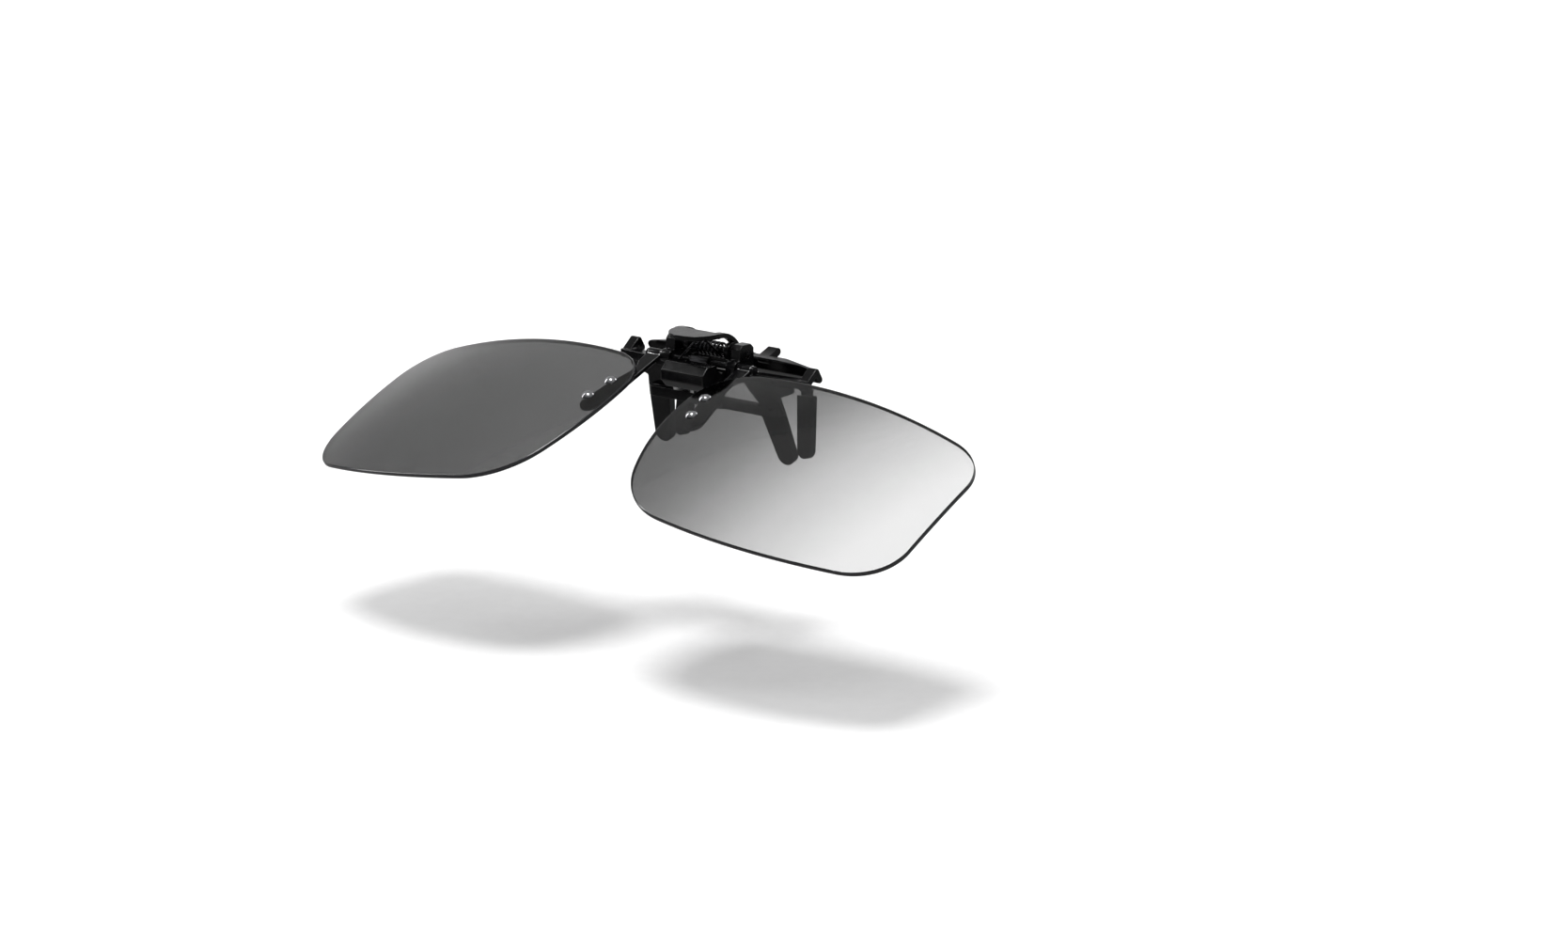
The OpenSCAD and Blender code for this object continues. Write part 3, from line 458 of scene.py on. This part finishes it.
def tint_finish(name, stops, slope):
    """stops are (distance from the bridge, light let through). slope tilts the fade."""
    finish, tree, shader = new_finish(name)
    tree.nodes.remove(shader)
    across = add(tree, "ShaderNodeAttribute", {"attribute_name": "from_bridge"})
    down = add(tree, "ShaderNodeAttribute", {"attribute_name": "from_top"})
    turned = add(tree, "ShaderNodeMath", {"operation": "MULTIPLY_ADD"})
    turned.inputs[1].default_value = slope
    tree.links.new(down.outputs["Fac"], turned.inputs[0])
    tree.links.new(across.outputs["Fac"], turned.inputs[2])
    fade = add(tree, "ShaderNodeValToRGB")
    fade.color_ramp.interpolation = "B_SPLINE"
    while len(fade.color_ramp.elements) < len(stops):
        fade.color_ramp.elements.new(0.5)
    for element, (place, through) in zip(fade.color_ramp.elements, stops):
        element.position = place
        element.color = (*grey(math.sqrt(through)), 1)
    tree.links.new(turned.outputs["Value"], fade.inputs["Fac"])
    kind_of_ray = add(tree, "ShaderNodeLightPath")
    shaded = add(tree, "ShaderNodeMix", {"data_type": "RGBA"})
    shaded.inputs["B"].default_value = (*grey(SHADOW_TINT), 1)
    tree.links.new(kind_of_ray.outputs["Is Shadow Ray"], shaded.inputs["Factor"])
    tree.links.new(fade.outputs["Color"], shaded.inputs["A"])
    dye = add(tree, "ShaderNodeBsdfTransparent")
    tree.links.new(shaded.outputs["Result"], dye.inputs["Color"])
    mirror = add(tree, "ShaderNodeBsdfGlossy", Roughness=MIRROR_ROUGHNESS)
    glance = add(tree, "ShaderNodeLayerWeight", Blend=0.5)
    steep = add(tree, "ShaderNodeMath", {"operation": "POWER"})
    steep.inputs[1].default_value = GLANCE_POWER
    share = add(tree, "ShaderNodeMath", {"operation": "MULTIPLY_ADD"})
    share.inputs[1].default_value = 1 - HEAD_ON_MIRROR
    share.inputs[2].default_value = HEAD_ON_MIRROR
    tree.links.new(glance.outputs["Facing"], steep.inputs[0])
    tree.links.new(steep.outputs["Value"], share.inputs[0])
    mixed = add(tree, "ShaderNodeMixShader")
    tree.links.new(share.outputs["Value"], mixed.inputs["Fac"])
    tree.links.new(dye.outputs["BSDF"], mixed.inputs[1])
    tree.links.new(mirror.outputs["BSDF"], mixed.inputs[2])
    tree.links.new(mixed.outputs["Shader"], tree.nodes["Material Output"].inputs["Surface"])
    return finish


SMOKE_STOPS = [(0.0, 0.1), (0.4, 0.08), (1.0, 0.045)]
FADING_STOPS = [
    (0.04, 0.1), (0.23, 0.105), (0.42, 0.17), (0.6, 0.35), (0.72, 0.46), (0.86, 0.58), (1.0, 0.72),
]
smoke_tint = tint_finish("smoke_tint", SMOKE_STOPS, slope=0.0)
fading_tint = tint_finish("fading_tint", FADING_STOPS, slope=0.15)
print("lens finishes:", smoke_tint.name, fading_tint.name)

# %% [markdown]
# ## Lens edge
# Seen edge on, the dye is many times as thick, so the polished rim of a lens looks almost black.
# The tint shader would stay as clear there as on the face, so the rim gets a dark glossy finish of
# its own, with faint blotches that polishing leaves.

# %% Lens edge finish
lens_edge, tree, shader = new_finish("lens_edge")
blotches = noise(tree, per_metre=2500, detail=3)
dark_rim = ramp(tree, blotches, low=(0.006, 0.006, 0.007), high=(0.014, 0.014, 0.015))
tree.links.new(dark_rim, shader.inputs["Base Color"])
tree.links.new(spread(tree, blotches, low=0.14, high=0.24), shader.inputs["Roughness"])
print("finish:", lens_edge.name)

# %% [markdown]
# ## The lens shape
# A lens blank is a thin spherical shell, cut to an outline of four bulged sides and four round
# corners, and its edge is polished round. The outline could be drawn as a curve and projected,
# but here it is worked out from the same sizes as the solid: each side is an arc over a chord and
# each corner is a circle that touches two arcs.

# %% Lens outline
CORNERS = [Vector(p) for p in ((-2.1, 8.4), (3.9, -29.8), (57.1, -27.1), (56.6, 7.1))]
BULGES = (4.0, 4.2, 0.4, 2.5)
ROUNDS = (10.6, 16.6, 11.1, 9.6)
CORNER_STEPS = 24
SIDE_STEPS = 30


def bulged_side(a, b, bulge):
    """Centre and radius of the arc from a to b that swells outward by bulge."""
    chord = b - a
    radius = (chord.length_squared / 4 + bulge * bulge) / (2 * bulge)
    outward = Vector((chord.y, -chord.x)).normalized()
    return (a + b) / 2 - outward * (radius - bulge), radius


def meeting_point(c0, r0, c1, r1, near):
    """The point close to near that is r0 from c0 and r1 from c1."""
    along = (c1 - c0).normalized()
    apart = (c1 - c0).length
    reach = (apart * apart + r0 * r0 - r1 * r1) / (2 * apart)
    rise = math.sqrt(max(0.0, r0 * r0 - reach * reach))
    square = Vector((-along.y, along.x)) * rise
    foot = c0 + along * reach
    return min((foot + square, foot - square), key=lambda p: (p - near).length)


def heading(v):
    return math.atan2(v.y, v.x)


def arc(centre, radius, start, end, steps):
    """Points from start on, without the end, each with its direction from the centre."""
    if end < start:
        end += 2 * math.pi
    turns = [start + (end - start) * k / steps for k in range(steps)]
    directions = [Vector((math.cos(a), math.sin(a))) for a in turns]
    return [(centre + radius * out, out) for out in directions]


def lens_outline():
    """Points round the lens in mm, each with its outward direction, from the inner top corner."""
    count = len(CORNERS)
    sides = [bulged_side(CORNERS[i], CORNERS[(i + 1) % count], BULGES[i]) for i in range(count)]
    hubs = []
    for i, (corner, size) in enumerate(zip(CORNERS, ROUNDS)):
        (c0, r0), (c1, r1) = sides[i - 1], sides[i]
        hubs.append(meeting_point(c0, r0 - size, c1, r1 - size, corner))
    points = []
    for i in range(count):
        hub, next_hub = hubs[i], hubs[(i + 1) % count]
        before, (side, side_radius) = sides[i - 1][0], sides[i]
        leaving = heading(hub - side)
        points += arc(hub, ROUNDS[i], heading(hub - before), leaving, CORNER_STEPS)
        points += arc(side, side_radius, leaving, heading(next_hub - side), SIDE_STEPS)
    return points


outline = lens_outline()
width = max(p.x for p, out in outline) - min(p.x for p, out in outline)
height = max(p.y for p, out in outline) - min(p.y for p, out in outline)
print("lens outline:", len(outline), "points,", round(width, 1), "by", round(height, 1), "mm")

# %% [markdown]
# ## From the flat outline to the worn lens
# The flat outline drops onto a sphere for the front and onto a slightly smaller one for the back.
# Then it is turned to the wrap of the face, hung from the flip axle and swung up. A face of one
# big polygon would mirror in jumps, so rings that shrink toward the middle fill it with even
# quads, and the mirror stays smooth. The other lens is the same mesh with its X turned round.

# %% Lens meshes
LENS_RADIUS = 137.0
LENS_THICK = 0.8
CROWN = Vector((22.0, LENS_RADIUS, -17.6))
EDGE_ROUND = 0.22
EDGE_STEPS = 4
FACE_RINGS = 26
FLIP_AXLE = Vector((0, -9.8, 16.3))
WORN_TILT = 10
FLIPPED_UP = 72
LENS_SEAT = (11.5, -6.2, -12.3)
LENS_WRAP = 6.2
lens_to_model = (
    Matrix.Translation(FLIP_AXLE)
    @ Matrix.Rotation(math.radians(WORN_TILT - FLIPPED_UP), 4, "X")
    @ Matrix.Translation(LENS_SEAT)
    @ Matrix.Rotation(math.radians(LENS_WRAP), 4, "Z")
)


def lens_depth(p, inward):
    """Depth of the front surface at p, or of the surface that lies inward behind it."""
    flat = (p.x - CROWN.x) ** 2 + (p.y - CROWN.z) ** 2
    return CROWN.y - math.sqrt((LENS_RADIUS - inward) ** 2 - flat)


def lens_rings():
    """Rings of points from the middle of the front, over the edge, to the middle of the back.

    Each comes with 1 if it lies on the rounded edge, or 0.
    """
    middle = sum((p for p, out in outline), Vector((0, 0))) / len(outline)
    inset = [p - EDGE_ROUND * out for p, out in outline]
    shares = [math.sin(math.pi / 2 * k / FACE_RINGS) for k in range(1, FACE_RINGS + 1)]
    front = [[middle + (p - middle) * s for p in inset] for s in shares]
    rings = [([Vector((p.x, lens_depth(p, 0), p.y)) for p in ring], 0) for ring in front]
    quarter = [math.pi / 2 * k / EDGE_STEPS for k in range(EDGE_STEPS + 1)]
    for inward, way, angles in ((0, 1, quarter[1:]), (LENS_THICK, -1, quarter[::-1])):
        for angle in angles:
            sink = EDGE_ROUND * (1 - math.cos(angle))
            ring = []
            for p, out in outline:
                q = p - EDGE_ROUND * (1 - math.sin(angle)) * out
                ring.append(Vector((q.x, lens_depth(p, inward) + way * sink, q.y)))
            rings.append((ring, 1))
    back = [[Vector((p.x, lens_depth(p, LENS_THICK), p.y)) for p in ring] for ring in front[::-1]]
    rings += [(ring, 0) for ring in back]
    return rings


def join_rings(shape, ring, following):
    """A closed band of quads between two rings."""
    ring_on, following_on = ring[1:] + ring[:1], following[1:] + following[:1]
    return [shape.faces.new(quad) for quad in zip(ring, ring_on, following_on, following)]


def make_lens(name, side, tint):
    """One lens. side is the sign of X where it hangs."""
    shell = bmesh.new()
    across = shell.verts.layers.float.new("from_bridge")
    down = shell.verts.layers.float.new("from_top")
    left, top = min(p.x for p, out in outline), max(p.y for p, out in outline)

    def corner(p):
        v = lens_to_model @ p
        vert = shell.verts.new((side * v.x * MM, v.y * MM, v.z * MM))
        vert[across] = (p.x - left) / width
        vert[down] = (top - p.z) / height
        return vert

    rings = [([corner(p) for p in ring], kind) for ring, kind in lens_rings()]
    for (ring, kind), (following, next_kind) in zip(rings, rings[1:]):
        for face in join_rings(shell, ring, following):
            face.material_index = 1 if kind or next_kind else 0
    for ring in (rings[0][0], rings[-1][0]):
        shell.faces.new(ring)
    bmesh.ops.recalc_face_normals(shell, faces=shell.faces)
    volume = shell.calc_volume()
    lens = as_object(name, shell)
    lens.data.materials.append(tint)
    lens.data.materials.append(lens_edge)
    print(name, "has", len(lens.data.polygons), "faces and", round(volume / MM ** 3), "mm3")
    return lens


smoke_lens = make_lens("smoke_lens_blank", -1, smoke_tint)
fading_lens = make_lens("fading_lens_blank", 1, fading_tint)
for lens, node, slot in (
    (smoke_lens, "left_lens", "smoke_lens"),
    (fading_lens, "right_lens", "gradient_lens"),
):
    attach(lens, "lens_flip")
    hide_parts(node)

# %% [markdown]
# ## Stamped pieces with broken edges
# A stamped and tumbled piece never has a knife edge: the tiny round on it is what draws the light
# line along a black part. The solid of a node has sharp edges, so its mesh is copied, its flat
# faces are joined up again, and each sharp edge gets a small round. A voxel remesh would round
# everything, holes too, and cost far more faces. Where rounds crowd each other, a point can be
# thrown outward, so each point is held close to the solid. The new faces are marked for the finish.

# %% Rounding helper
SHARP = math.radians(28)
FLAT = math.radians(1)
SAME_POINT = 0.002 * MM
OUTWARD_SHARE = 0.3


def hold_close(piece, skin, radius):
    """Draws points back that lie too far from the solid's skin. Gives the farthest that is left."""
    for vert in piece.verts:
        spot, outward, _, gap = skin.find_nearest(vert.co)
        most = radius if (vert.co - spot).dot(outward) < 0 else radius * OUTWARD_SHARE
        if gap > most:
            vert.co = spot + (vert.co - spot) * (most / gap)
    return max(skin.find_nearest(vert.co)[3] for vert in piece.verts)


def rounded_copy(node, name, radius, steps, finish):
    """A copy of a node's solid with rounds of that radius on its sharp edges."""
    piece = bmesh.new()
    piece.from_mesh(frame["nodes"][node].data)
    bmesh.ops.remove_doubles(piece, verts=piece.verts, dist=SAME_POINT)
    bmesh.ops.dissolve_limit(
        piece, angle_limit=FLAT, verts=piece.verts, edges=piece.edges, delimit=set()
    )
    before = piece.calc_volume()
    skin = BVHTree.FromBMesh(piece)
    mark = piece.faces.layers.float.new("edge")
    sharp = [e for e in piece.edges if e.is_manifold and e.calc_face_angle(0) > SHARP]
    made = bmesh.ops.bevel(
        piece, geom=sharp, offset=radius, offset_type="OFFSET", segments=steps,
        profile=0.5, affect="EDGES", clamp_overlap=False, loop_slide=True,
    )
    for face in made["faces"]:
        face[mark] = 1.0
    away = hold_close(piece, skin, radius)
    volumes = [round(volume / MM ** 3, 2) for volume in (before, piece.calc_volume())]
    open_edges = sum(not e.is_manifold for e in piece.edges)
    copy = as_object(name, piece)
    copy.data.materials.append(finish)
    flats = copy.modifiers.new("flat_faces_stay_flat", "WEIGHTED_NORMAL")
    flats.keep_sharp = False
    print(
        name, "has", len(copy.data.polygons), "faces, mm3 before and after", volumes,
        "farthest from the solid in mm", round(away / MM, 3), "open edges", open_edges,
    )
    return copy


print("edges that turn by more than", round(math.degrees(SHARP)), "degrees will be rounded")

# %% [markdown]
# ## The clamp's metal pieces
# The frame with its ears, the front jaw with its ledge, the hook bar, the hinge block, the two
# arms, the axle caps and the thumb lever with the rear jaw are stamped or turned and then coated.
# They could be modelled afresh, but then they might no longer fit their neighbours, so each keeps
# the shape of its solid, with broken edges and the black coat. The radius of the round is in mm.

# %% Coated pieces
COAT_ROUND_STEPS = 3
COATED = (
    ("clamp_frame", "frame_plate", "clamp_base", 0.12, black_coat),
    ("front_jaw", "front_jaw_plate", "clamp_base", 0.12, black_coat),
    ("hook_bar", "hook_bar_strip", "clamp_base", 0.15, black_coat),
    ("hinge_block", "hinge_block_body", "clamp_base", 0.2, black_coat),
    ("left_arm", "left_arm_strip", "lens_flip", 0.12, arm_coat),
    ("right_arm", "right_arm_strip", "lens_flip", 0.12, arm_coat),
    ("axle_caps", "axle_cap_pair", "lens_flip", 0.12, black_coat),
    ("rear_lever", "thumb_lever_plate", "rear_jaw", 0.12, black_coat),
)
for node, name, body, radius, finish in COATED:
    plate = rounded_copy(node, name, radius * MM, COAT_ROUND_STEPS, finish)
    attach(plate, body)
    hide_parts(node)

# %% [markdown]
# ## Silicone sleeves
# The sleeves are moulded, with a far larger round along their rims than the sheet. They could be
# smoothed as a whole, but that would swell their flat pads, so the same helper does it with a
# bigger radius and more steps.

# %% Sleeves
SLEEVE_ROUND = 0.26 * MM
SLEEVE_ROUND_STEPS = 4
SLEEVES = (
    ("left_front_sleeve", "clamp_base"),
    ("right_front_sleeve", "clamp_base"),
    ("left_rear_sleeve", "rear_jaw"),
    ("right_rear_sleeve", "rear_jaw"),
)
for node, body in SLEEVES:
    name = node + "_moulded"
    sleeve = rounded_copy(node, name, SLEEVE_ROUND, SLEEVE_ROUND_STEPS, silicone)
    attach(sleeve, body)
    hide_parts(node)

# %% [markdown]
# ## Clamp spring
# One steel wire winds round the pin. One end of it presses on the block and the other lifts the
# thumb plate. A curve with a bevel could draw it, but a swept tube gives full control of the ends.
# Its path repeats the sizes of the solid with many more steps. When the lever turns, one end stays
# and the other follows.

# %% Spring wire
WIRE = 0.45
COIL_RADIUS = 1.25
COIL_HALF = 3.1
PIN = Vector((0, -7.0, 18.4))
DOWN_ANGLE = 120
UP_ANGLE = 230
WHOLE_TURNS = 7
BLOCK_TOP = 16.6
THUMB_UNDERSIDE = 21.4
LEG_GAP = 0.02
BLOCK_LEG_Z = BLOCK_TOP + WIRE / 2 + LEG_GAP
THUMB_LEG_Z = THUMB_UNDERSIDE - WIRE / 2 - LEG_GAP
COIL_STEPS = 260
LEG_STEPS = 10
WIRE_SIDES = 12
DOME_ANGLES = (80, 55, 30)


def coil_point(degrees, x):
    """The point of the coil at that angle round the pin."""
    a = math.radians(degrees)
    return Vector((x, PIN.y + COIL_RADIUS * math.cos(a), PIN.z + COIL_RADIUS * math.sin(a)))


def wire_path():
    """The middle of the wire in mm, from the end on the block to the end at the thumb plate."""
    wind = DOWN_ANGLE - UP_ANGLE + 360 * WHOLE_TURNS
    coil = [
        coil_point(DOWN_ANGLE - wind * k / COIL_STEPS, COIL_HALF * (2 * k / COIL_STEPS - 1))
        for k in range(COIL_STEPS + 1)
    ]
    down = Vector((0, -math.sin(math.radians(DOWN_ANGLE)), math.cos(math.radians(DOWN_ANGLE))))
    up = Vector((0, math.sin(math.radians(UP_ANGLE)), -math.cos(math.radians(UP_ANGLE))))
    block_end = coil[0] + down * (BLOCK_LEG_Z - coil[0].z) / down.z
    thumb_end = coil[-1] + up * (THUMB_LEG_Z - coil[-1].z) / up.z
    first = [block_end.lerp(coil[0], k / LEG_STEPS) for k in range(LEG_STEPS)]
    last = [coil[-1].lerp(thumb_end, k / LEG_STEPS) for k in range(1, LEG_STEPS + 1)]
    return first + coil + last


def swept_wire(name, path, radius):
    """A round tube along the path, with domed ends."""
    tube = bmesh.new()
    ways = [(b - a).normalized() for a, b in zip(path[:1] + path, path[1:] + path[-1:])]
    side = ways[0].orthogonal().normalized()
    stations = []
    for point, way in zip(path, ways):
        side = (side - way * side.dot(way)).normalized()
        stations.append((point, way, side, 1.0))
    dome = [(math.sin(math.radians(a)), math.cos(math.radians(a))) for a in DOME_ANGLES]
    point, way, side, _ = stations[0]
    start = [(point - way * s * radius, way, side, c) for s, c in dome]
    point, way, side, _ = stations[-1]
    end = [(point + way * s * radius, way, side, c) for s, c in dome[::-1]]
    turns = [2 * math.pi * k / WIRE_SIDES for k in range(WIRE_SIDES)]
    rings = []
    for point, way, side, share in start + stations + end:
        lift = way.cross(side)
        ring = [point + radius * share * (side * math.cos(a) + lift * math.sin(a)) for a in turns]
        rings.append([tube.verts.new(v * MM) for v in ring])
    for ring, following in zip(rings, rings[1:]):
        join_rings(tube, ring, following)
    tube.faces.new(rings[0])
    tube.faces.new(rings[-1])
    bmesh.ops.recalc_face_normals(tube, faces=tube.faces)
    return as_object(name, tube)


spring = swept_wire("clamp_spring_wire", wire_path(), WIRE / 2)
spring.data.materials.append(drawn_steel)
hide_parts("clamp_spring")
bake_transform(spring)
print("spring wire has", len(spring.data.polygons), "faces")

# %% [markdown]
# ## Screws, pin and the other turned pieces
# These pieces are turned or pressed, and so small that a round on their edges wouldn't show. Their
# solids already have the true shape, so their own meshes stay and only get a finish: polished
# steel for the domed lens screws, blackened steel in the hinge and behind the arms, and the coat
# for the rest.

# %% Finishes of the remaining solids
KEPT = {
    polished_steel: ("left_lens_screws", "right_lens_screws"),
    drawn_steel: (
        "clamp_pin", "pin_spacers", "axle_washers", "detent_leaf", "detent_cam",
        "left_screw_caps", "right_screw_caps",
    ),
    black_coat: ("flip_axle", "frame_screws", "bar_rivets"),
}
for finish, nodes in KEPT.items():
    for node in nodes:
        for place in frame["nodes"][node].material_slots:
            place.material = finish
    print(finish.name, "on", ", ".join(nodes))

# %% [markdown]
# ## Measure and finish
# The dressed model must stay as large as the solids. It could be judged by eye, but its box
# printed in mm shows even a slip of a tenth of a millimetre.

# %% Sizes
visual_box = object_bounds()
visual_mm = [[round(x / MM, 2) for x in corner] for corner in visual_box]
print("box of the dressed model in mm:", visual_mm)
